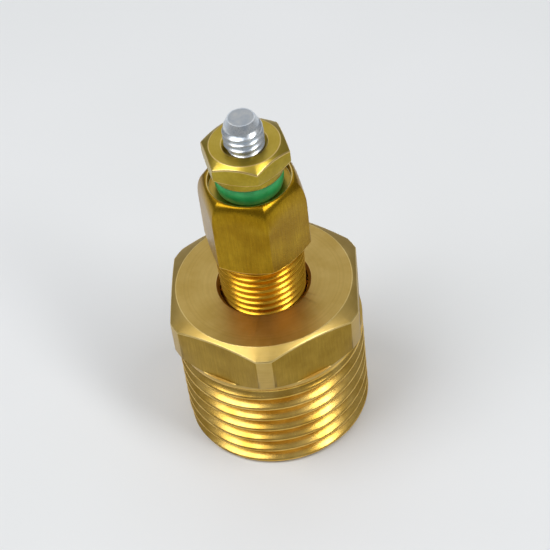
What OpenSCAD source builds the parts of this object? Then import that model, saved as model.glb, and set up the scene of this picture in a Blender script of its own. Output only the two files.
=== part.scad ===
// Hygroscopic automatic air vent, screwed into a hexagon reducing bushing.
// A stack of fibre discs swells when water reaches it and pulls the stem down, so that the
// seal ring closes on the rim. Dry discs shrink, and the spring lifts the stem to let air out.
// The nut on the stem sets the closing point, and it can be backed off to bleed by hand.
// +Z is up along the axis, and the origin is the centre of the bushing's lower end face.
// Male threads are rings with the real pitch and depth. The large one is parallel, and the small
// one tapers. Threaded holes are plain bores.

/* [Reducing bushing] */
// Overall height
bushing_h = 19.1; // [18.5:0.1:21]
// Major diameter of the parallel 1/2 pipe thread
pipe_d = 20.96; // [20.4:0.02:21.2]
// Pitch of the 1/2 pipe thread
pipe_pitch = 1.814; // [1.6:0.002:1.9]
// Depth of the 1/2 pipe thread
pipe_depth = 1.16; // [0.8:0.02:1.3]
// Length of the 1/2 pipe thread
pipe_len = 12.9; // [12:0.1:13.2]
// Height of the top of the round land between the thread and the hexagon
land_z = 13.3; // [13.2:0.05:13.6]
// Width across the flats
bushing_af = 20.4; // [20:0.1:21]
// Diameter of the turned corners
bushing_corner_d = 22.64; // [22:0.02:23]
// Diameter of the flat top face
bushing_face_d = 19.42; // [18.8:0.02:19.8]
// Drop of the top chamfer at the corners
bushing_drop = 0.75; // [0.4:0.05:1]
// Angle of the first corner from +X
bushing_turn = -95.6; // [-120:0.1:-60]
// Diameter of the waterway
waterway_d = 8.4; // [7.5:0.1:8.5]
// Mouth of the countersink round the small thread
sink_d = 10.44; // [10:0.02:11]

/* [Vent body] */
// Height of the underside of the small hexagon
hex_z = 25.3; // [24:0.1:26]
// Height of the rim
rim_z = 34.5; // [34:0.1:35]
// Height of the body's lower end
shank_z = 13.4; // [13.3:0.1:13.6]
// Width across the flats
body_af = 10.22; // [10:0.02:10.4]
// Angle of the first corner from +X
body_turn = -18.7; // [-60:0.1:0]
// Major diameter of the 1/8 pipe thread at its large end
small_d = 9.728; // [9.6:0.002:9.75]
// Pitch of the 1/8 pipe thread
small_pitch = 0.907; // [0.8:0.001:1]
// Depth of the 1/8 pipe thread
small_depth = 0.58; // [0.4:0.02:0.6]
// Outer diameter of the rim
rim_d = 8.96; // [8.9:0.02:9.2]
// Height and depth of the shoulder that rounds in to the rim
shoulder = [3.6, 1.5]; // [1:0.1:4]
// Diameter of the counterbore for the seal ring
pocket_d = 8.7; // [8.4:0.02:8.8]
// Height of the seat at the floor of the counterbore
seat_z = 33.6; // [33.4:0.05:33.9]
// Diameter of the spring chamber
chamber_d = 5.2; // [5:0.1:5.4]
// Diameter of the disc chamber in the shank
disc_room_d = 6.2; // [6:0.05:6.3]
// Heights of the lower and upper face of the guide web
web_z = [28.5, 30]; // [28:0.1:31]

/* [Stem and nut] */
// Height of the stem's tip
tip_z = 42.6; // [42:0.1:43]
// Major diameter of the stem thread
stem_d = 4.22; // [4:0.02:4.3]
// Pitch of the stem thread
stem_pitch = 0.74; // [0.7:0.01:0.8]
// Diameter of the stem's flat tip
tip_d = 2.84; // [2.5:0.02:3]
// Height of the taper from the tip down to the full thread
tip_taper = 1.35; // [0.8:0.05:1.5]
// Diameter of the stem's shank
shank_d = 2.5; // [2.4:0.05:2.6]
// Half width of the shank at its flat
shank_flat = 0.95; // [0.8:0.05:1.1]
// Height of the shoulder over the spring
shoulder_z = 33.2; // [33.1:0.05:33.4]
// Height of the stem's lower end
stem_end_z = 16.8; // [16.6:0.1:17.2]
// Width across the nut's flats
nut_af = 8.23; // [8:0.01:8.4]
// Heights of the lower and upper face of the nut's hexagon
nut_z = [36.75, 39.3]; // [36.5:0.05:39.6]
// Diameter of the round boss under the nut's hexagon
boss_d = 7.6; // [7.4:0.1:7.8]
// Height of the boss's lower face
boss_z = 35.9; // [35.6:0.05:36.3]
// Angle of the nut's first corner from +X
nut_turn = -19.7; // [-60:0.1:0]
// Outer diameter of the seal ring at its bulge
seal_d = 7.3; // [6.8:0.05:7.4]

/* [Disc stack] */
// Number of fibre discs
disc_n = 8; // [8:1:8]
// Diameter of a disc
disc_d = 5.8; // [5.6:0.05:5.9]
// Thickness of a disc
disc_t = 0.94; // [0.9:0.01:0.95]
// Space for each disc in the stack
disc_step = 1; // [1:0.01:1.02]

/* [Hidden] */
run_gap = 0.04;          // radial clearance of a running fit
grip_gap = 0.02;         // radial clearance of a piece that is fixed in its own body
taper = 1 / 32;          // pipe threads grow this much in radius for each unit of length
crest = 0.16;            // width of a thread's crest and of its root, as a share of the pitch
thread_h = 0.64;         // depth of a machine thread, as a share of the pitch
vent_hole_d = 0.9;       // air holes through the web, the washers and the discs
vent_hole_r = 1.95;      // radius of their circle
vent_hole_n = 4;
washer_t = 0.4;          // stack and foot washers
seat_washer_t = 0.2;
wire_d = 0.4;            // return spring
spring_r = 1.65;
spring_turns = 5;
over = 0.5;              // how far a cut runs past the face that it opens
flats_z = land_z - 0.35; // lower end of the hexagon, inside the land
under_d = pipe_d - 0.66; // diameter there of the 45 degree chamfer under the hexagon
stack_top = web_z[0] - washer_t;
stack_bottom = stack_top - disc_n * disc_step;
foot_nut_h = 2;
foot_nut_af = 5;
screen_z = 14.2;         // underside of the inlet screen
screen_t = 0.25;
screen_d = 6.64;
ring_h = 0.4;            // retaining ring under the screen
ring_groove_d = 7;
bore_z = shank_z - 0.4;  // shoulder in the bushing under the vent body
$fn = 96;

// Outline of a threaded rod from z0 up to z1, as [radius, height] points. r is the crest's radius
// at z1, slope is how much the radius shrinks for each unit down, and the ends are chamfered.
function thread_outline(r, z0, z1, pitch, depth, slope = 0) =
    let (n = floor((z1 - z0) / pitch - 0.1), start = z0 + (z1 - z0 - n * pitch) / 2)
    concat(
        [[0, z0], [r - slope * (z1 - z0) - depth, z0]],
        [for (i = [0 : n - 1], p = [[0, 0.08], [1, 0.42], [1, 0.42 + crest], [0, 0.92]])
            let (z = start + (i + p[1]) * pitch)
            [r - slope * (z1 - z) - depth * (1 - p[0]), z]],
        [[r - depth, z1], [0, z1]]);

module threaded_rod(r, z0, z1, pitch, depth, slope = 0) {
    rotate_extrude() polygon(thread_outline(r, z0, z1, pitch, depth, slope));
}

// A hexagonal prism from z0 to z1, af across the flats, with its first corner at the angle turn.
module hex_bar(af, z0, z1, turn) {
    translate([0, 0, z0]) rotate([0, 0, turn])
        cylinder(r = af / 2 / cos(30), h = z1 - z0, $fn = 6);
}

// A round bar whose end is chamfered down to face_d. The chamfer falls by drop at the corner
// diameter. With both, the lower end is chamfered too. spare widens the bar past the corners, so
// that only the chamfer cuts them.
module chamfered_bar(corner_d, face_d, drop, z0, z1, both = false, spare = 0) {
    r = corner_d / 2 + spare;
    fall = drop * (r - face_d / 2) / (corner_d / 2 - face_d / 2);
    low_end = both ? [[face_d / 2, z0], [r, z0 + fall]] : [[r, z0]];
    rotate_extrude()
        polygon(concat([[0, z0]], low_end, [[r, z1 - fall], [face_d / 2, z1], [0, z1]]));
}

// A round bar whose upper end is rounded in to the rim by the shoulder, which is a quarter ellipse.
module round_shouldered_bar(z0, z1) {
    rotate_extrude()
        polygon(concat(
            [[0, z1], [0, z0], [rim_d / 2 + shoulder[1], z0]],
            [for (a = [90 : -15 : 0])
                [rim_d / 2 + shoulder[1] * sin(a), z1 - shoulder[0] * (1 - cos(a))]]));
}

module bore(d, z0, z1) {
    translate([0, 0, z0]) cylinder(d = d, h = z1 - z0);
}

module air_holes(z0, z1) {
    for (i = [0 : vent_hole_n - 1])
        rotate([0, 0, (i + 0.5) * 360 / vent_hole_n])
            translate([vent_hole_r, 0, z0]) cylinder(d = vent_hole_d, h = z1 - z0);
}

module washer(d, hole_d, z0, z1) {
    difference() {
        bore(d, z0, z1);
        bore(hole_d, z0 - over, z1 + over);
    }
}

// Shape of the stem's shank, or of its guide hole with gap around it, between z0 and z1.
module flatted_shank(gap, z0, z1) {
    intersection() {
        bore(shank_d + 2 * gap, z0, z1);
        translate([-shank_d, -shank_d, z0])
            cube([shank_d + shank_flat + gap, 2 * shank_d, z1 - z0]);
    }
}

// Hexagon with turned corners, over a round land and the male 1/2 pipe thread.
module hex_bushing() {
    color("goldenrod") difference() {
        union() {
            threaded_rod(pipe_d / 2, 0, pipe_len, pipe_pitch, pipe_depth);
            bore(pipe_d, pipe_len - 0.2, land_z);
            intersection() {
                hex_bar(bushing_af, flats_z, bushing_h, bushing_turn);
                chamfered_bar(bushing_corner_d, bushing_face_d, bushing_drop, flats_z, bushing_h);
                translate([0, 0, flats_z])
                    cylinder(d1 = under_d, d2 = under_d + 2 * (bushing_h - flats_z),
                             h = bushing_h - flats_z);
            }
        }
        bore(waterway_d, -over, bore_z + over);
        bore(small_d + 2 * run_gap, bore_z, bushing_h + over);
        translate([0, 0, bushing_h - (sink_d - small_d) / 2])
            cylinder(d1 = small_d, d2 = sink_d + 2 * over, h = (sink_d - small_d) / 2 + over);
    }
}

// Small hexagon with the seal's counterbore, the spring chamber, the web that guides the stem,
// and the threaded shank that holds the disc stack.
module vent_body() {
    color("darkgoldenrod") difference() {
        union() {
            threaded_rod(small_d / 2, shank_z, hex_z + grip_gap, small_pitch, small_depth, taper);
            intersection() {
                hex_bar(body_af, hex_z, rim_z, body_turn);
                round_shouldered_bar(hex_z, rim_z);
            }
        }
        bore(pocket_d, seat_z, rim_z + over);
        bore(chamber_d, web_z[1], seat_z + over);
        bore(disc_room_d, shank_z - over, web_z[0]);
        bore(screen_d + 2 * grip_gap, shank_z - over, screen_z + screen_t);
        bore(ring_groove_d, screen_z - ring_h, screen_z);
        flatted_shank(run_gap, web_z[0] - over, web_z[1] + over);
        air_holes(web_z[0] - over, web_z[1] + over);
    }
}

// Elastomer ring that bulges between the nut and the seat.
module seal_ring() {
    low = seat_z;
    high = boss_z;
    bulge = 0.25;
    color("seagreen") rotate_extrude() polygon(concat(
        [[stem_d / 2 + run_gap, high], [stem_d / 2 + run_gap, low]],
        [for (i = [0 : 8]) [seal_d / 2 - bulge * pow(i / 4 - 1, 2), low + (high - low) * i / 8]]));
}

// Hexagon nut, chamfered on both faces, with a round boss below. It turns on the stem's thread.
module adjusting_nut() {
    face_d = 7.36;
    drop = 0.6;
    color("khaki") difference() {
        union() {
            intersection() {
                hex_bar(nut_af, nut_z[0], nut_z[1], nut_turn);
                chamfered_bar(nut_af / cos(30), face_d, drop, nut_z[0], nut_z[1], true, over);
            }
            bore(boss_d, boss_z, nut_z[0] + over);
        }
        bore(stem_d + 2 * run_gap, boss_z - over, nut_z[1] + over);
    }
}

// Threaded top, flatted shank through the web and the discs, and a threaded foot.
module valve_stem() {
    foot_z = stack_bottom - washer_t;
    color("lightsteelblue") union() {
        intersection() {
            threaded_rod(stem_d / 2, shoulder_z, tip_z, stem_pitch, thread_h * stem_pitch);
            chamfered_bar(stem_d, tip_d, tip_taper, shoulder_z, tip_z);
        }
        flatted_shank(0, foot_z, shoulder_z);
        bore(shank_d, stem_end_z, foot_z);
    }
}

// Points of the spring's wire: closed turns at both ends and open turns between them.
function spring_point(t) =
    let (rise = web_z[1] + wire_d / 2,
         span = shoulder_z - seat_washer_t - web_z[1] - wire_d,
         closed = 1.05 * wire_d,
         open = (span - 2 * closed) / (spring_turns - 2),
         z = t < 1 ? t * closed
           : t < spring_turns - 1 ? closed + (t - 1) * open
           : span - (spring_turns - t) * closed)
    [spring_r * cos(360 * t), spring_r * sin(360 * t), rise + z];

module return_spring() {
    per_turn = 24;
    sides = 8;
    rings = spring_turns * per_turn;
    points = [for (i = [0 : rings], j = [0 : sides - 1])
        let (c = spring_point(i / per_turn), a = 360 * i / per_turn, b = 360 * j / sides)
        c + wire_d / 2 * [cos(b) * cos(a), cos(b) * sin(a), sin(b)]];
    walls = [for (i = [0 : rings - 1], j = [0 : sides - 1])
        let (k = (j + 1) % sides)
        [i * sides + j, i * sides + k, (i + 1) * sides + k, (i + 1) * sides + j]];
    ends = [[for (j = [sides - 1 : -1 : 0]) j], [for (j = [0 : sides - 1]) rings * sides + j]];
    color("lightgray") polyhedron(points, concat(walls, ends));
}

module spring_seat() {
    color("silver")
        washer(4.5, shank_d + 2 * grip_gap, shoulder_z - seat_washer_t, shoulder_z);
}

module stack_washer() {
    color("silver") difference() {
        washer(disc_d, shank_d + 0.2, stack_top, web_z[0]);
        air_holes(stack_top - over, web_z[0] + over);
    }
}

// Disc number i, counted from the top of the stack.
module fibre_disc(i) {
    top = stack_top - (i - 1) * disc_step;
    color("burlywood") difference() {
        washer(disc_d, shank_d + 0.2, top - disc_t, top);
        air_holes(top - disc_t - over, top + over);
    }
}

module foot_washer() {
    color("silver") difference() {
        washer(disc_d - 0.1, shank_d + 2 * grip_gap, stack_bottom - washer_t, stack_bottom);
        air_holes(stack_bottom - washer_t - over, stack_bottom + over);
    }
}

module foot_nut() {
    top = stack_bottom - washer_t;
    color("goldenrod") difference() {
        hex_bar(foot_nut_af, top - foot_nut_h, top, 0);
        bore(shank_d + 2 * grip_gap, top - foot_nut_h - over, top + over);
    }
}

// Perforated disc that keeps grit out of the stack: a centre hole and two rings of holes.
module inlet_screen() {
    hole_d = 0.6;
    ring_step = 1.05;
    color("silver") difference() {
        bore(screen_d, screen_z, screen_z + screen_t);
        bore(hole_d, screen_z - over, screen_z + screen_t + over);
        for (ring = [1, 2], i = [0 : 6 * ring - 1])
            rotate([0, 0, 60 / ring * i])
                translate([ring * ring_step, 0, 0])
                    bore(hole_d, screen_z - over, screen_z + screen_t + over);
    }
}

// Open spring ring in the groove under the screen.
module screen_ring() {
    color("gray") difference() {
        washer(ring_groove_d - 2 * grip_gap, 5.6, screen_z - ring_h + grip_gap, screen_z);
        translate([0, -0.6, screen_z - ring_h - over]) cube([ring_groove_d, 1.2, ring_h + 2 * over]);
    }
}

hex_bushing();
vent_body();
seal_ring();
adjusting_nut();
valve_stem();
return_spring();
spring_seat();
stack_washer();
fibre_disc(1);  // fibre_disc_1
fibre_disc(2);  // fibre_disc_2
fibre_disc(3);  // fibre_disc_3
fibre_disc(4);  // fibre_disc_4
fibre_disc(5);  // fibre_disc_5
fibre_disc(6);  // fibre_disc_6
fibre_disc(7);  // fibre_disc_7
fibre_disc(8);  // fibre_disc_8
foot_washer();
foot_nut();
inlet_screen();
screen_ring();
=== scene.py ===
"""Looks of the automatic air vent: brass bushing, body and nut, zinc-plated stem, green seal ring.

Meshes are worked out in millimetres and scaled to metres when a piece is made. Every threaded
part is one skin: rings of points round the axis, joined to a helical band with the same angles.
"""
import math

import bmesh
import bpy
from mathutils import Matrix, Vector


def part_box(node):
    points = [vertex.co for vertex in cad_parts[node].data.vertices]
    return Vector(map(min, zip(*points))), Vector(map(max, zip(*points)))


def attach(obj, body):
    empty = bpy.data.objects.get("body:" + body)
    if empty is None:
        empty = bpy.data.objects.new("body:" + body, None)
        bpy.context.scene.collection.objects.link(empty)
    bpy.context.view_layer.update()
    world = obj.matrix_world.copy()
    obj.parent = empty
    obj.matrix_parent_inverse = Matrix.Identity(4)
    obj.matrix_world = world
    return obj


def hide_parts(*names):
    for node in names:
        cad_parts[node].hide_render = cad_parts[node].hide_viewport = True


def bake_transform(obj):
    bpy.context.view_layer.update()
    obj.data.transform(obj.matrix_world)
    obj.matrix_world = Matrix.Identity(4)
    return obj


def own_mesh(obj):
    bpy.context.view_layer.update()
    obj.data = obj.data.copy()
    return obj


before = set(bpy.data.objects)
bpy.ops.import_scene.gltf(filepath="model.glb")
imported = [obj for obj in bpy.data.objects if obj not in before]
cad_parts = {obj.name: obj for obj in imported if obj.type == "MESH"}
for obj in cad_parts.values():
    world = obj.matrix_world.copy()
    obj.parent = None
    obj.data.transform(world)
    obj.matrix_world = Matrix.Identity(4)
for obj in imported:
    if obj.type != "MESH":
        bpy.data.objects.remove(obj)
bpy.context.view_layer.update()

MM = 0.001
TAU = 2 * math.pi


def box_mm(node):
    """Lowest and highest corner of a CAD node, in millimetres."""
    low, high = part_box(node)
    return low / MM, high / MM


# ---------------------------------------------------------------- sizes, in millimetres
BUSHING = box_mm("hex_bushing")
BODY = box_mm("vent_body")
STEM = box_mm("valve_stem")
NUT = box_mm("adjusting_nut")
SEAL = box_mm("seal_ring")
FACE_Z = BUSHING[1].z
RIM_Z = BODY[1].z
TIP_Z = STEM[1].z

# Large hexagon and its pipe thread
PIPE_R = 10.48
PIPE_PITCH = 1.814
PIPE_DEPTH = 1.16
PIPE_TOP = 12.9
PIPE_PHASE = 0.0
PIPE_START_R = 10.15
PIPE_RUN_OUT = 1.6
LAND_Z = 13.3
EDGE_STEP = 0.04
BUSHING_AF = 20.4
BUSHING_CORNER_R = 11.32
BUSHING_FACE_R = 9.71
BUSHING_DROP = 0.75
BUSHING_TURN = -95.6
WATERWAY_R = 4.2
SINK_R = 5.22

# Small hexagon and its pipe thread
HEX_Z = 25.3
BODY_AF = 10.22
BODY_TURN = -18.7
SHOULDER_LEAST = 1.2
SHOULDER_SLOPE = 1.4
FOOT_DROP = 0.5
SMALL_R = 4.864
SMALL_PITCH = 0.907
SMALL_DEPTH = 0.58
SMALL_PHASE = 0.04
SMALL_START_R = 3.75
TAPER = 1 / 32
FIT_GAP = 0.04
RIM_R = 4.48
POCKET_R = 4.35
SEAT_Z = SEAL[0].z
CHAMBER_R = 2.6
DISC_ROOM_R = 3.1
WEB_Z = (28.5, 30.0)
SHANK_Z = BODY[0].z
SCREEN_SEAT_R = 3.34
SCREEN_Z = (14.2, 14.45)
RING_GROOVE_R = 3.5
RING_GROOVE_Z = 13.8

# Stem, nut and seal ring
STEM_R = 2.11
STEM_PITCH = 0.74
STEM_DEPTH = 0.47
STEM_PHASE = 0.31
SHANK_R = 1.25
SHANK_FLAT = 0.95
FOOT_PITCH = 0.45
FOOT_DEPTH = 0.27
FOOT_START_R = 0.95
FOOT_TOP = 19.7
FOOT_HOLE_R = 1.27
FOOT_NUT_AF = 5.0
FOOT_NUT_FACE_R = 2.3
SHOULDER_Z = 33.2
NUT_AF = 8.23
NUT_Z = 36.75
BOSS_R = 3.8
NUT_FACE_R = 3.68
NUT_DROP = 0.6
NUT_TURN = -19.7
THREAD_GAP = 0.035
TIP_R = 1.42
TIP_SLOPE = 0.5

# Disc stack and inlet
DISC_R = 2.9
DISC_HOLE_R = 1.35
GRILLE_HOLE_R = 0.3
GRILLE_STEP = 1.05
AIR_HOLE_R = 0.45
AIR_HOLE_CIRCLE = 1.95

# ---------------------------------------------------------------- camera
CAMERA_ELEVATION = 45.9
CAMERA_ROLL = -7.6
CAMERA_DISTANCE = 183.0
CAMERA_LENS = 109.57
CAMERA_AIM = (1.246, 0.547)


def make_camera():
    """Camera above and in front of the vent, turned a little about its own line of sight."""
    up_angle = math.radians(CAMERA_ELEVATION)
    roll = math.radians(CAMERA_ROLL)
    back = Vector((0, -math.cos(up_angle), math.sin(up_angle)))
    right = Vector((1, 0, 0))
    up = back.cross(right)
    across = math.cos(roll) * right + math.sin(roll) * up
    upward = math.cos(roll) * up - math.sin(roll) * right
    target = Vector((0, 0, FACE_Z))
    place = target + CAMERA_DISTANCE * back + CAMERA_AIM[0] * across + CAMERA_AIM[1] * upward
    data = bpy.data.cameras.new("camera")
    data.lens = CAMERA_LENS
    data.sensor_width = 36
    data.clip_start = 0.01
    data.clip_end = 20
    camera = bpy.data.objects.new("camera", data)
    bpy.context.scene.collection.objects.link(camera)
    turn = Matrix((across, upward, back)).transposed()
    camera.matrix_world = Matrix.Translation(place * MM) @ turn.to_4x4()
    bpy.context.scene.camera = camera


# ---------------------------------------------------------------- outlines round the axis
HALF_FORM = ((0.0, 0.0), (0.04, 0.01), (0.08, 0.05), (0.13, 0.16), (0.25, 0.5),
             (0.37, 0.84), (0.42, 0.95), (0.46, 0.99), (0.5, 1.0))
FORM = HALF_FORM + tuple((1 - u, f) for u, f in reversed(HALF_FORM[1:-1]))
CORNER_POWER = 160
STRIP_POWER = 600
WELD = 2e-4


def form_at(u):
    """Height of the thread form, from 0 at the root to 1 at the crest, at a share of the pitch."""
    u = min(u, 1 - u)
    for (u0, f0), (u1, f1) in zip(HALF_FORM, HALF_FORM[1:]):
        if u <= u1:
            return f0 + (f1 - f0) * (u - u0) / (u1 - u0)
    return 1.0


def thread_radius(crest, pitch, depth, start, cut=None, fade=None):
    """Radius of a right-hand thread at an angle and height. crest and cut are radii by height,
    and fade is how deep the groove is, as a share, by height."""
    def radius(angle, z):
        share = 1 - form_at(((z - start) / pitch - angle / TAU) % 1)
        r = crest(z) - depth * share * (fade(z) if fade else 1)
        return min(r, cut(z)) if cut else r
    return radius


def hexagon(across, turn, corner=None):
    """Radius of a hexagonal bar by angle, with its corners just broken or turned to a radius."""
    def radius(angle):
        total = 0
        for k in range(6):
            c = math.cos(angle - math.radians(turn + 30 + 60 * k))
            if c > 0.5:
                total += c ** CORNER_POWER
        r = across / 2 * total ** (-1 / CORNER_POWER)
        if corner:
            r *= (1 + (r / corner) ** STRIP_POWER) ** (-1 / STRIP_POWER)
        return r
    return radius


def ring_angles(turn=0.0, edges=(), step=2.0):
    """Angles round the axis: even steps, with closer ones on both sides of a hexagon's edges."""
    found = {i * step for i in range(round(360 / step))}
    for k in range(6):
        for edge in edges:
            for near in (0, 0.2, 0.5, 1.0):
                found.add((turn + 60 * k + edge + near) % 360)
                found.add((turn + 60 * k + edge - near) % 360)
    kept = []
    for a in sorted(found):
        if not kept or a - kept[-1] > 0.15:
            kept.append(a)
    return [math.radians(a) for a in kept]


# Paints of a piece, as places in its list of materials. On the brass pieces EDGE is a lighter brass, a
# painted highlight, and FLAT is a darker brass, painted shade.
MAIN, EDGE, FLAT, FACE = 0, 1, 2, 3


def rounded(corners, closed, steps=3):
    """Points of an outline, and the paint of the stretch after each. A corner is
    (radius, height, rounding, paint), and a rounded stretch is painted as an edge, which on the
    brass pieces is a lighter brass: a painted highlight along the rounded edges."""
    points, paints = [], []
    last = len(corners) - 1
    for i, (r, z, rounding, paint) in enumerate(corners):
        here = Vector((r, z))
        if rounding == 0 or (not closed and i in (0, last)):
            points.append(here)
            paints.append(paint)
            continue
        back = Vector(corners[i - 1][:2]) - here
        ahead = Vector(corners[(i + 1) % len(corners)][:2]) - here
        start = here + back.normalized() * min(rounding, back.length * 0.45)
        end = here + ahead.normalized() * min(rounding, ahead.length * 0.45)
        for k in range(steps + 1):
            t = k / steps
            points.append((1 - t) ** 2 * start + 2 * t * (1 - t) * here + t * t * end)
            paints.append(paint if k == steps else EDGE)
    return points, paints


def polar(r, angle, z):
    return (r * math.cos(angle), r * math.sin(angle), z)


def join(bm, left, right, paints, closed=False):
    """Faces between two columns of points."""
    n = len(left)
    for j in range(n if closed else n - 1):
        k = (j + 1) % n
        face = bm.faces.new((left[j], right[j], right[k], left[k]))
        face.material_index = paints[j]


def skin(bm, angles, outline, closed=False):
    """Sweeps an outline round the axis. outline gives the corners at an angle."""
    columns = []
    column_paints = []
    for a in angles:
        points, paints = rounded(outline(a), closed)
        columns.append([bm.verts.new(polar(p[0], a, p[1])) for p in points])
        column_paints.append(paints)
    for i, left in enumerate(columns):
        after = (i + 1) % len(columns)
        paints = [min(pair) for pair in zip(column_paints[i], column_paints[after])]
        join(bm, left, columns[after], paints, closed)


def thread_band(bm, angles, radius, pitch, start, z0, z1, paint=MAIN):
    """A helical skin from z0 up to z1, whose rows follow the thread."""
    first = math.floor((z0 - start) / pitch) - 1
    turns = math.ceil((z1 - z0) / pitch) + 4
    columns = []
    for a in angles:
        heights = [start + pitch * (first + t + u + a / TAU) for t in range(turns) for u, _ in FORM]
        heights = [min(max(z, z0), z1) for z in heights]
        columns.append([bm.verts.new(polar(radius(a, z), a, z)) for z in heights])
    for i, left in enumerate(columns):
        right = columns[(i + 1) % len(columns)]
        if i == len(columns) - 1:
            right = right[len(FORM):]
        rows = min(len(left), len(right))
        join(bm, left[:rows], right[:rows], [paint] * rows)


# ---------------------------------------------------------------- making pieces
def finish_piece(name, bm, body, node, materials, smooth=True):
    """Welds the skins, and hangs the piece on its body in place of its CAD node."""
    bmesh.ops.remove_doubles(bm, verts=bm.verts, dist=WELD)
    bmesh.ops.dissolve_degenerate(bm, dist=WELD / 2, edges=bm.edges)
    bmesh.ops.recalc_face_normals(bm, faces=bm.faces)
    bmesh.ops.scale(bm, vec=(MM, MM, MM), verts=bm.verts)
    mesh = bpy.data.meshes.new(name)
    bm.to_mesh(mesh)
    bm.free()
    for material in materials:
        mesh.materials.append(material)
    for polygon in mesh.polygons:
        polygon.use_smooth = smooth
    piece = bpy.data.objects.new(name, mesh)
    bpy.context.scene.collection.objects.link(piece)
    if smooth:
        mesh.set_sharp_from_angle(angle=math.radians(50))
        weighted = piece.modifiers.new("weighted_normals", "WEIGHTED_NORMAL")
        weighted.weight = 100
        weighted.keep_sharp = True
    if node:
        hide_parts(node)
    if body:
        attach(piece, body)
    return piece


def make_bushing(paints):
    strip = 30 - math.degrees(math.acos(BUSHING_AF / 2 / BUSHING_CORNER_R))
    angles = ring_angles(BUSHING_TURN, (-strip, strip), 2.0)
    side = hexagon(BUSHING_AF, BUSHING_TURN, BUSHING_CORNER_R)
    slope = BUSHING_DROP / (BUSHING_CORNER_R - BUSHING_FACE_R)
    crest = lambda z: PIPE_R
    cut = lambda z: PIPE_START_R + z
    fade = lambda z: min(1.0, max(0.0, (PIPE_TOP - z) / PIPE_RUN_OUT))
    thread = thread_radius(crest, PIPE_PITCH, PIPE_DEPTH, PIPE_PHASE, cut, fade)

    def outline(a):
        r = side(a)
        top = FACE_Z - slope * (r - BUSHING_FACE_R)
        side_paint = FACE if r > BUSHING_CORNER_R - 0.02 else FLAT
        return [
            (thread(a, PIPE_TOP), PIPE_TOP, 0, MAIN),
            (PIPE_R, PIPE_TOP + 0.05, 0, FACE),
            (PIPE_R, LAND_Z, 0, FACE),
            (r, LAND_Z + EDGE_STEP + max(0, r - PIPE_R), 0, side_paint),
            (r, top, 0.13, FACE),
            (BUSHING_FACE_R, FACE_Z, 0.06, FACE),
            (SINK_R, FACE_Z, 0.05, FACE),
            (SMALL_R + FIT_GAP, FACE_Z - SINK_R + SMALL_R + FIT_GAP, 0.05, MAIN),
            (SMALL_R + FIT_GAP, SHANK_Z - 0.4, 0, MAIN),
            (WATERWAY_R, SHANK_Z - 0.4, 0.05, MAIN),
            (WATERWAY_R, 0.4, 0.1, FACE),
            (WATERWAY_R + 0.4, 0, 0.05, FACE),
            (thread(a, 0), 0, 0, MAIN),
        ]

    bm = bmesh.new()
    skin(bm, angles, outline)
    thread_band(bm, angles, thread, PIPE_PITCH, PIPE_PHASE, 0, PIPE_TOP)
    return finish_piece("bushing", bm, "vent", "hex_bushing", paints)


def make_body(paints):
    angles = ring_angles(BODY_TURN, (0,), 2.5)
    side = hexagon(BODY_AF, BODY_TURN)
    corner_r = BODY_AF / 2 / math.cos(math.radians(30))
    band_top = HEX_Z - 0.12
    crest = lambda z: SMALL_R - (HEX_Z - z) * TAPER
    cut = lambda z: SMALL_START_R + (z - SHANK_Z)
    thread = thread_radius(crest, SMALL_PITCH, SMALL_DEPTH, SMALL_PHASE, cut)

    def outline(a):
        reach = side(a) - RIM_R
        shoulder = SHOULDER_LEAST + SHOULDER_SLOPE * reach
        foot_r = min(side(a), BODY_AF / 2) - 0.06
        foot_z = HEX_Z + 0.06 + FOOT_DROP * (side(a) - BODY_AF / 2) / (corner_r - BODY_AF / 2)
        wall = []
        for i in range(13):
            turn = math.radians(90 - 7.5 * i)
            wall.append((RIM_R + reach * math.sin(turn),
                         RIM_Z - shoulder * (1 - math.cos(turn)), 0, FLAT))
        return [
            (thread(a, band_top), band_top, 0, MAIN),
            (SMALL_R - 0.2, HEX_Z, 0, FLAT),
            (foot_r, HEX_Z, 0, FLAT),
            (side(a), foot_z, 0.08, FLAT),
            *wall[:-1],
            # the rim's top takes the EDGE brass: a painted highlight line round the rim
            (RIM_R, RIM_Z, 0, EDGE),
            (POCKET_R, RIM_Z, 0.04, MAIN),
            (POCKET_R, SEAT_Z, 0.08, FACE),
            (CHAMBER_R, SEAT_Z, 0.06, FACE),
            (CHAMBER_R, WEB_Z[1], 0, MAIN),
            (DISC_ROOM_R, WEB_Z[1], 0, MAIN),
            (DISC_ROOM_R, SCREEN_Z[1], 0, MAIN),
            (SCREEN_SEAT_R, SCREEN_Z[1], 0, MAIN),
            (SCREEN_SEAT_R, SCREEN_Z[0], 0, MAIN),
            (RING_GROOVE_R, SCREEN_Z[0], 0, MAIN),
            (RING_GROOVE_R, RING_GROOVE_Z, 0, MAIN),
            (SCREEN_SEAT_R, RING_GROOVE_Z, 0, MAIN),
            (SCREEN_SEAT_R, SHANK_Z, 0.04, FACE),
            (thread(a, SHANK_Z), SHANK_Z, 0, MAIN),
        ]

    bm = bmesh.new()
    skin(bm, angles, outline)
    thread_band(bm, angles, thread, SMALL_PITCH, SMALL_PHASE, SHANK_Z, band_top)
    return finish_piece("valve_body", bm, "vent", "vent_body", paints)


def stem_thread(extra=0.0):
    """The stem's thread, or with extra the thread of the nut round it."""
    crest = lambda z: STEM_R + extra
    cut = None if extra else (lambda z: TIP_R + (TIP_Z - z) * TIP_SLOPE)
    return thread_radius(crest, STEM_PITCH, STEM_DEPTH, STEM_PHASE, cut)


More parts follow.
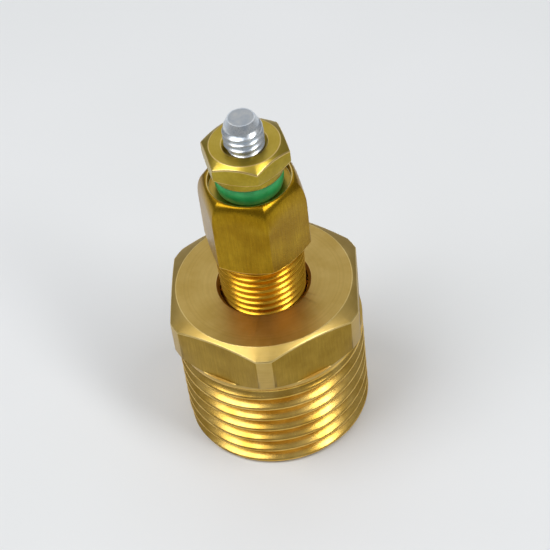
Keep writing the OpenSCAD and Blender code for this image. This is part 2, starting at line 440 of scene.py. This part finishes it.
def make_stem(paints):
    angles = ring_angles(0, (), 3.0)
    thread = stem_thread()
    low = STEM[0].z
    foot_cut = lambda z: FOOT_START_R + (z - low)
    foot = thread_radius(lambda z: SHANK_R, FOOT_PITCH, FOOT_DEPTH, low, foot_cut)

    def shank(a):
        c = math.cos(a)
        return min(SHANK_R, SHANK_FLAT / c) if c > 0.1 else SHANK_R

    def upper(a):
        return [
            (foot(a, FOOT_TOP), FOOT_TOP, 0, MAIN),
            (shank(a), FOOT_TOP + 0.3, 0.05, MAIN),
            (shank(a), SHOULDER_Z, 0.04, MAIN),
            (thread(a, SHOULDER_Z + 0.05), SHOULDER_Z + 0.05, 0, MAIN),
        ]

    def tip(a):
        return [(thread(a, TIP_Z), TIP_Z, 0, EDGE), (TIP_R - 0.12, TIP_Z, 0, FACE),
                (0, TIP_Z, 0, FACE)]

    def foot_end(a):
        return [(0, low, 0, FACE), (foot(a, low), low, 0, FACE)]

    bm = bmesh.new()
    skin(bm, angles, foot_end)
    thread_band(bm, angles, foot, FOOT_PITCH, low, low, FOOT_TOP)
    skin(bm, angles, upper)
    thread_band(bm, angles, thread, STEM_PITCH, STEM_PHASE, SHOULDER_Z + 0.05, TIP_Z)
    skin(bm, angles, tip)
    return finish_piece("stem", bm, "stem", "valve_stem", paints)


def make_nut(paints):
    angles = ring_angles(NUT_TURN, (0,), 3.0)
    side = hexagon(NUT_AF, NUT_TURN)
    slope = NUT_DROP / (NUT_AF / 2 / math.cos(math.radians(30)) - NUT_FACE_R)
    low, high = NUT[0].z, NUT[1].z
    thread = stem_thread(THREAD_GAP)
    mouth, inset = 2.42, 0.26

    def outline(a):
        r = side(a)
        drop = slope * (r - NUT_FACE_R)
        return [
            (thread(a, low + inset), low + inset, 0, MAIN),
            (mouth, low, 0.03, FACE),
            # the boss under the hexagon takes the FLAT brass: painted shade under the nut
            (BOSS_R, low, 0.12, FLAT),
            (BOSS_R, NUT_Z + slope * (BOSS_R - NUT_FACE_R), 0, FLAT),
            (r, NUT_Z + drop, 0.1, FLAT),
            (r, high - drop, 0.14, FACE),
            (NUT_FACE_R, high, 0.06, FACE),
            (mouth, high, 0.05, FACE),
            (thread(a, high - inset), high - inset, 0, MAIN),
        ]

    bm = bmesh.new()
    skin(bm, angles, outline)
    thread_band(bm, angles, thread, STEM_PITCH, STEM_PHASE, low + inset, high - inset)
    return finish_piece("nut", bm, "nut", "adjusting_nut", paints)


def make_seal(paints):
    low, high = SEAL[0].z, SEAL[1].z
    rows = 10

    def outline(a):
        wave = 0.02 * math.sin(3 * a + 0.6) + 0.012 * math.sin(7 * a)
        corners = [(2.16, high, 0.02, MAIN), (2.16, low, 0.02, MAIN)]
        for i in range(rows + 1):
            t = 2 * i / rows - 1
            corners.append((SEAL[1].x - 0.04 - 0.24 * abs(t) ** 2.6 + wave,
                            low + (high - low) * i / rows, 0.16 if i in (0, rows) else 0, MAIN))
        return corners

    bm = bmesh.new()
    skin(bm, ring_angles(0, (), 3.0), outline, closed=True)
    return finish_piece("seal_sleeve", bm, "seal", "seal_ring", paints)


def make_foot_nut(paints):
    low, high = (corner.z for corner in box_mm("foot_nut"))
    side = hexagon(FOOT_NUT_AF, 0)

    def outline(a):
        r = side(a)
        drop = 0.55 * (r - FOOT_NUT_FACE_R)
        return [
            (FOOT_HOLE_R, low + 0.15, 0, MAIN),
            (1.42, low, 0.03, FACE),
            (FOOT_NUT_FACE_R, low, 0.05, FACE),
            (r, low + drop, 0.05, FLAT),
            (r, high - drop, 0.05, FACE),
            (FOOT_NUT_FACE_R, high, 0.05, FACE),
            (1.42, high, 0.03, FACE),
            (FOOT_HOLE_R, high - 0.15, 0, MAIN),
        ]

    bm = bmesh.new()
    skin(bm, ring_angles(0, (0,), 5.0), outline, closed=True)
    return finish_piece("foot_lock_nut", bm, "stem", "foot_nut", paints)


def round_radius(r):
    return lambda a: r


def perforated(bm, loops, z0, z1, edge):
    """A flat plate with rounded edges. A loop is (x, y, radius by angle, 1 rim or -1 hole, points)."""
    ends = ([], [])
    for x, y, radius, sign, count in loops:
        rings = []
        for z, inset in ((z0, edge), (z0 + 0.3 * edge, 0.3 * edge), (z0 + edge, 0),
                         (z1 - edge, 0), (z1 - 0.3 * edge, 0.3 * edge), (z1, edge)):
            ring = []
            for i in range(count):
                a = TAU * i / count
                r = radius(a) - sign * inset
                ring.append(bm.verts.new((x + r * math.cos(a), y + r * math.sin(a), z)))
            rings.append(ring)
        for i in range(count):
            k = (i + 1) % count
            for lower, upper in zip(rings, rings[1:]):
                bm.faces.new((lower[i], lower[k], upper[k], upper[i]))
            for end, ring in zip(ends, (rings[0], rings[-1])):
                end.append(bm.edges.get((ring[i], ring[k])))
    for end in ends:
        bmesh.ops.triangle_fill(bm, use_beauty=True, edges=end)


def air_holes():
    found = []
    for i in range(4):
        a = TAU * (i + 0.5) / 4
        found.append((AIR_HOLE_CIRCLE * math.cos(a), AIR_HOLE_CIRCLE * math.sin(a),
                      round_radius(AIR_HOLE_R), -1, 20))
    return found


def make_plate(name, node, body, material, rim_r, hole_r, edge=0.06, holes=()):
    """A washer or disc in place of a CAD node, between that node's lower and upper face."""
    low, high = (corner.z for corner in box_mm(node))
    bm = bmesh.new()
    loops = [(0, 0, round_radius(rim_r), 1, 72)]
    if hole_r:
        loops.append((0, 0, round_radius(hole_r), -1, 40))
    perforated(bm, loops + list(holes), low, high, edge)
    return finish_piece(name, bm, body, node, [material])


def make_guide_web(material):
    """The web inside the body that guides the stem's flatted shank."""
    def guide(a):
        c = math.cos(a)
        return min(SHANK_R, SHANK_FLAT / c) + FIT_GAP if c > 0.1 else SHANK_R + FIT_GAP
    bm = bmesh.new()
    loops = [(0, 0, round_radius(DISC_ROOM_R), 1, 72), (0, 0, guide, -1, 60)] + air_holes()
    perforated(bm, loops, WEB_Z[0], WEB_Z[1] - 0.01, 0.05)
    return finish_piece("guide_web", bm, "vent", None, [material])


def make_spring(material):
    """Coil spring with a closed turn at each end."""
    low, high = (corner.z for corner in box_mm("return_spring"))
    wire, coil_r, turns, per_turn, sides = 0.2, 1.65, 5, 40, 12
    closed_rise = 2.1 * wire
    span = high - low - 2 * wire
    rise = (span - 2 * closed_rise) / (turns - 2)

    def height(t):
        if t < 1:
            return t * closed_rise
        if t < turns - 1:
            return closed_rise + (t - 1) * rise
        return span - (turns - t) * closed_rise

    bm = bmesh.new()
    rings = []
    for i in range(turns * per_turn + 1):
        t = i / per_turn
        a = TAU * t
        ring = []
        for j in range(sides):
            b = TAU * j / sides
            ring.append(bm.verts.new(polar(coil_r + wire * math.cos(b), a,
                                           low + wire + height(t) + wire * math.sin(b))))
        rings.append(ring)
    for one, other in zip(rings, rings[1:]):
        for j in range(sides):
            k = (j + 1) % sides
            bm.faces.new((one[j], one[k], other[k], other[j]))
    bm.faces.new(rings[0])
    bm.faces.new(rings[-1])
    spring = finish_piece("spring_coil", bm, None, "return_spring", [material])
    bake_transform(spring)


def make_screen_ring(material):
    """Open wire ring in the groove under the screen."""
    low, high = box_mm("screen_ring")
    mid, half = (low.z + high.z) / 2, (high.z - low.z) / 2
    outer, inner = high.y, 2.85
    gap = math.radians(12)
    section = [(outer, mid), (outer - 0.06, mid + half), (inner + 0.06, mid + half),
               (inner, mid), (inner + 0.06, mid - half), (outer - 0.06, mid - half)]
    bm = bmesh.new()
    rings = []
    for i in range(81):
        a = gap + (TAU - 2 * gap) * i / 80
        rings.append([bm.verts.new(polar(r, a, z)) for r, z in section])
    for one, other in zip(rings, rings[1:]):
        for j in range(len(section)):
            k = (j + 1) % len(section)
            bm.faces.new((one[j], one[k], other[k], other[j]))
    bm.faces.new(rings[0])
    bm.faces.new(rings[-1])
    return finish_piece("snap_ring", bm, "vent", "screen_ring", [material])


# ---------------------------------------------------------------- materials
class Look:
    """A node material on one Principled shader, in millimetres of the piece's own coordinates."""

    def __init__(self, name, **constants):
        self.material = bpy.data.materials.new(name)
        self.material.use_nodes = True
        self.tree = self.material.node_tree
        self.shader = self.tree.nodes["Principled BSDF"]
        for socket, value in constants.items():
            self.shader.inputs[socket.replace("_", " ")].default_value = value
        place = self.tree.nodes.new("ShaderNodeTexCoord")
        self.mm = self.mapped(place.outputs["Object"], (1 / MM, 1 / MM, 1 / MM))

    def new(self, kind, inputs=None, **settings):
        node = self.tree.nodes.new(kind)
        for key, value in settings.items():
            setattr(node, key, value)
        for key, value in (inputs or {}).items():
            socket = node.inputs[key]
            if isinstance(value, bpy.types.NodeSocket):
                self.tree.links.new(value, socket)
            else:
                socket.default_value = value
        return node

    def mapped(self, vector, scale):
        return self.new("ShaderNodeMapping", {"Vector": vector, "Scale": scale}).outputs["Vector"]

    def round_place(self):
        """(radius, 0, height) of a point: marks made on it run round the axis."""
        split = self.new("ShaderNodeSeparateXYZ", {0: self.mm})
        flat = self.new("ShaderNodeCombineXYZ", {0: split.outputs[0], 1: split.outputs[1]})
        length = self.new("ShaderNodeVectorMath", {0: flat.outputs[0]}, operation="LENGTH")
        return self.new("ShaderNodeCombineXYZ",
                        {0: length.outputs["Value"], 2: split.outputs[2]}).outputs[0]

    def noise(self, vector, scale, detail=3.0, rough=0.5):
        return self.new("ShaderNodeTexNoise", {"Vector": vector, "Scale": scale, "Detail": detail,
                                               "Roughness": rough}).outputs["Fac"]

    def ramp(self, value, low, high):
        """value stretched so that low gives 0 and high gives 1."""
        return self.new("ShaderNodeMapRange", {"Value": value, "From Min": low,
                                               "From Max": high}).outputs["Result"]

    def mix(self, factor, a, b):
        node = self.new("ShaderNodeMix", {"Factor": factor}, data_type="RGBA")
        for index, value in ((6, a), (7, b)):
            if isinstance(value, bpy.types.NodeSocket):
                self.tree.links.new(value, node.inputs[index])
            else:
                node.inputs[index].default_value = (*value, 1)
        return node.outputs[2]

    def span(self, value, low, high):
        return self.new("ShaderNodeMapRange", {"Value": value, "To Min": low,
                                               "To Max": high}).outputs["Result"]

    def colour(self, socket):
        self.tree.links.new(socket, self.shader.inputs["Base Color"])

    def rough(self, socket):
        self.tree.links.new(socket, self.shader.inputs["Roughness"])

    def bump(self, value, strength, depth_mm, before=None):
        inputs = {"Height": value, "Strength": strength, "Distance": depth_mm * MM}
        if before:
            inputs["Normal"] = before
        socket = self.new("ShaderNodeBump", inputs).outputs["Normal"]
        self.tree.links.new(socket, self.shader.inputs["Normal"])
        return socket


def brass(name, light, dark, rough, marks, grain=0.35, mark_depth=0.01):
    """Brass with tone patches, a fine grain and machining marks: "round", "drawn" or "plain"."""
    look = Look(name, Metallic=1.0)
    patches = look.ramp(look.noise(look.mm, 0.35, 4, 0.6), 0.35, 0.68)
    fine = look.noise(look.mm, 9.0, 3, 0.6)
    if marks == "round":
        lines = look.noise(look.mapped(look.round_place(), (7, 1, 7)), 1.0, 4, 0.7)
    elif marks == "drawn":
        lines = look.noise(look.mapped(look.mm, (6, 6, 0.35)), 1.0, 4, 0.7)
    else:
        lines = look.noise(look.mm, 3.0, 3, 0.6)
    tone = look.mix(patches, dark, light)
    streak = look.ramp(lines, 0.35, 0.65)
    tone = look.mix(look.span(streak, 0, grain), tone, tuple(0.62 * c for c in dark))
    look.colour(tone)
    look.rough(look.span(fine, rough - 0.06, rough + 0.1))
    normal = look.bump(lines, 0.6, mark_depth)
    look.bump(fine, 0.35, 0.004, normal)
    return look.material


def zinc(name, rough, tone=1.0):
    look = Look(name, Metallic=1.0)
    patches = look.ramp(look.noise(look.mm, 1.2, 3, 0.6), 0.35, 0.65)
    low, high = (0.62, 0.68, 0.75), (0.80, 0.82, 0.83)
    look.colour(look.mix(patches, tuple(tone * c for c in low), tuple(tone * c for c in high)))
    fine = look.noise(look.mm, 14.0, 3, 0.6)
    look.rough(look.span(fine, rough - 0.05, rough + 0.12))
    look.bump(fine, 0.4, 0.004)
    return look.material


def steel(name, colour, rough):
    look = Look(name, Metallic=1.0)
    lines = look.noise(look.mapped(look.round_place(), (9, 1, 9)), 1.0, 3, 0.6)
    look.colour(look.mix(look.ramp(lines, 0.3, 0.7), tuple(0.7 * c for c in colour), colour))
    look.rough(look.span(lines, rough - 0.05, rough + 0.15))
    look.bump(lines, 0.4, 0.006)
    return look.material


def elastomer(name):
    look = Look(name, Specular_IOR_Level=0.5)
    patches = look.ramp(look.noise(look.mm, 0.9, 3, 0.5), 0.35, 0.65)
    fine = look.noise(look.mm, 12.0, 3, 0.6)
    look.colour(look.mix(patches, (0.024, 0.36, 0.09), (0.045, 0.50, 0.14)))
    look.rough(look.span(fine, 0.28, 0.48))
    look.bump(fine, 0.3, 0.01)
    return look.material


def fibre(name):
    look = Look(name, Roughness=0.9)
    strands = look.noise(look.mapped(look.mm, (2.5, 9, 14)), 1.0, 5, 0.7)
    look.colour(look.mix(look.ramp(strands, 0.3, 0.7), (0.33, 0.22, 0.11), (0.62, 0.48, 0.29)))
    look.bump(strands, 0.7, 0.04)
    return look.material


def floor_look():
    look = Look("floor_paper", Roughness=0.75, Specular_IOR_Level=0.2)
    tone = look.ramp(look.noise(look.mm, 0.02, 2, 0.5), 0.3, 0.7)
    look.colour(look.mix(tone, (0.80, 0.815, 0.82), (0.83, 0.84, 0.85)))
    return look.material


# ---------------------------------------------------------------- floor and light
def make_floor():
    bm = bmesh.new()
    bmesh.ops.create_grid(bm, x_segments=1, y_segments=1, size=1.5)
    mesh = bpy.data.meshes.new("floor")
    bm.to_mesh(mesh)
    bm.free()
    mesh.materials.append(floor_look())
    floor = bpy.data.objects.new("floor", mesh)
    floor.location.z = -0.00002
    bpy.context.scene.collection.objects.link(floor)


def area_light(name, way, distance, size, along, radiance, colour=(1, 1, 1)):
    """A soft light that faces the vent from a direction. size is its width and its length,
    along is which way its length runs, and radiance is how bright a mirror shows it."""
    data = bpy.data.lights.new(name, "AREA")
    data.shape = "RECTANGLE"
    data.size, data.size_y = size
    data.energy = radiance * math.pi * size[0] * size[1]
    data.color = colour
    light = bpy.data.objects.new(name, data)
    outward = Vector(way).normalized()
    across = Vector(along).cross(outward).normalized()
    turn = Matrix((across, outward.cross(across), outward)).transposed()
    place = Vector((0, 0, 0.015)) + distance * outward
    light.matrix_world = Matrix.Translation(place) @ turn.to_4x4()
    bpy.context.scene.collection.objects.link(light)


def make_light():
    world = bpy.data.worlds.new("studio")
    bpy.context.scene.world = world
    world.use_nodes = True
    background = world.node_tree.nodes["Background"]
    background.inputs["Color"].default_value = (0.95, 0.97, 1.0, 1)
    background.inputs["Strength"].default_value = 0.3
    area_light("right_strip_light", (0.47, -0.33, 0.82), 0.5, (0.09, 0.4), (-0.17, 0.37, 0.27), 8.5)
    area_light("left_soft_light", (-0.46, -0.12, 0.85), 0.5, (0.28, 0.36), (0.17, 0.37, 0.27), 3.6)
    area_light("back_soft_light", (0.0, 0.70, 0.72), 0.6, (0.7, 0.42), (0, -0.7, 0.7), 0.55)


def main():
    scene = bpy.context.scene
    scene.view_settings.view_transform = "Standard"
    make_camera()
    make_floor()
    make_light()
    gold, gold_dark = (0.86, 0.58, 0.16), (0.62, 0.37, 0.06)
    # paler, lighter brass for the rounded edges and the body's rim: a painted highlight standing in
    # for the glints along them
    bright = brass("brass_edge_painted_highlight", (0.78, 0.60, 0.24), (0.68, 0.49, 0.16), 0.28, "plain", 0.1, 0.003)
    make_bushing([
        brass("bushing_thread", gold, gold_dark, 0.22, "round", 0.2, 0.004),
        bright,
        # darker brass on the hex flats: painted shade for the dim reflections the flats show
        brass("bushing_flat_painted_shade", (0.45, 0.29, 0.04), (0.33, 0.20, 0.02), 0.4, "drawn", 0.4, 0.015),
        brass("bushing_face", (0.60, 0.42, 0.13), (0.52, 0.35, 0.09), 0.36, "round", 0.2, 0.008),
    ])
    make_body([
        brass("body_thread", (0.88, 0.50, 0.05), (0.60, 0.30, 0.015), 0.22, "round", 0.2, 0.003),
        bright,
        # darker brass on the hex flats, shoulder and underside: painted shade for the dim reflections
        # there
        brass("body_flat_painted_shade", (0.46, 0.28, 0.015), (0.33, 0.18, 0.006), 0.27, "drawn", 0.45, 0.012),
        brass("body_face", (0.66, 0.47, 0.10), (0.50, 0.33, 0.04), 0.34, "round", 0.3, 0.006),
    ])
    make_nut([
        brass("nut_thread", gold, gold_dark, 0.3, "round", 0.2, 0.004),
        bright,
        # darker brass on the nut's flats and the boss under them: painted shade
        brass("nut_flat_painted_shade", (0.49, 0.37, 0.045), (0.38, 0.27, 0.02), 0.3, "plain", 0.35, 0.01),
        brass("nut_face", (0.57, 0.43, 0.08), (0.46, 0.33, 0.04), 0.3, "round", 0.25, 0.005),
    ])
    shiny = zinc("zinc_thread", 0.25)
    make_stem([shiny, shiny, shiny, zinc("zinc_tip", 0.45, 0.7)])
    make_seal([elastomer("seal_elastomer")])
    foot = brass("foot_brass", gold, gold_dark, 0.32, "round")
    make_foot_nut([foot, foot, foot, foot])
    make_guide_web(foot)
    washer = steel("washer_steel", (0.62, 0.62, 0.62), 0.3)
    wire = steel("spring_wire", (0.58, 0.59, 0.60), 0.25)
    make_plate("spring_cup", "spring_seat", "stem", washer, 2.25, FOOT_HOLE_R,
               0.04)
    make_plate("stack_top_washer", "stack_washer", "vent", washer, DISC_R,
               DISC_HOLE_R, 0.06, air_holes())
    make_plate("foot_plate", "foot_washer", "stem", washer, 2.85, FOOT_HOLE_R,
               0.06, air_holes())
    pressed = fibre("pressed_fibre")
    for i in range(1, 9):
        disc = make_plate(f"disc_{i}", f"fibre_disc_{i}", "vent", pressed, DISC_R,
                          DISC_HOLE_R, 0.12, air_holes())
        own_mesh(disc)
    make_spring(wire)
    make_screen_ring(wire)
    hole = round_radius(GRILLE_HOLE_R)
    grille = [(0, 0, hole, -1, 16)]
    for ring in (1, 2):
        for i in range(6 * ring):
            a = TAU * i / (6 * ring)
            reach = GRILLE_STEP * ring
            grille.append((reach * math.cos(a), reach * math.sin(a), hole, -1, 16))
    make_plate("grit_screen", "inlet_screen", "vent", washer, 3.32, None, 0.04,
               grille)


main()
